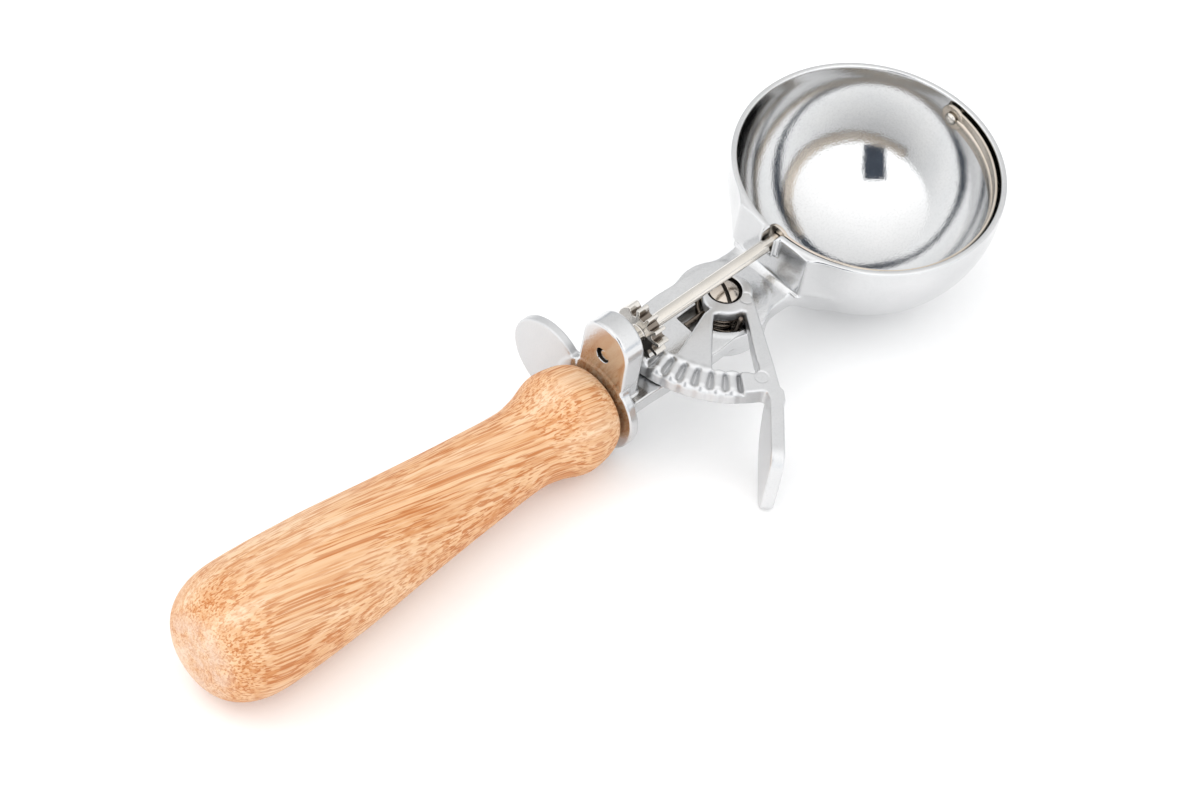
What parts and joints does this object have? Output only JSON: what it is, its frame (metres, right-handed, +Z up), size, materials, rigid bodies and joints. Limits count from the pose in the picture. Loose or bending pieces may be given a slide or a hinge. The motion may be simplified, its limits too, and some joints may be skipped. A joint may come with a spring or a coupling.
{
  "type": "ice cream scoop",
  "caption": "Ice cream scoop: a thumb lever's toothed sector turns a pinion and a curved scraper through a round bowl, on a turned wooden handle.",
  "frame": {"origin": "middle of the bounding box, on the surface that the scoop lies on", "axes": "+X from the handle to the bowl, +Y from the thumb paddle's side to the finger rest's side, +Z up"},
  "size_m": [0.2184, 0.07, 0.0373],
  "materials": {
    "polished_casting": "polished",
    "lever_casting": "satin die casting",
    "nickel_plate": "bright nickel plate",
    "spring_steel": "dark, oiled",
    "stud_steel": "plain",
    "washer_brass": "plain",
    "turned_wood": "open-pored, thin clear finish"
  },
  "bodies": {
    "frame": {"frame_and_bowl": "polished_casting", "wooden_handle": "turned_wood", "handle_stud": "stud_steel", "pivot_screw": "nickel_plate", "hub_wear_washer": "washer_brass", "return_spring": "spring_steel", "pinion_thrust_washer": "nickel_plate", "scraper_pivot_rivet": "nickel_plate"},
    "lever": {"thumb_lever": "lever_casting"},
    "scraper": {"scraper_shaft": "nickel_plate", "pinion": "nickel_plate", "scraper_band": "nickel_plate"}
  },
  "joints": [
    {"name": "lever_swing", "type": "hinge", "parent": "frame", "child": "lever", "pos_m": [0.03557, 0.00559, 0.02197], "axis": [0.0378, 0.1202, -0.992], "range_deg": [0, 40], "stiffness_Nm_per_rad": 0.2, "springref_deg": -28.65, "deforming": ["return_spring"]},
    {"name": "scraper_turn", "type": "hinge", "parent": "frame", "child": "scraper", "pos_m": [0.02792, 0.00479, 0.02834], "axis": [0.9993, 0, 0.0381], "range_deg": [0, 170]}
  ],
  "couplings": [
    {"joint": "scraper_turn", "follows": "lever_swing", "ratio": 4.25}
  ]
}
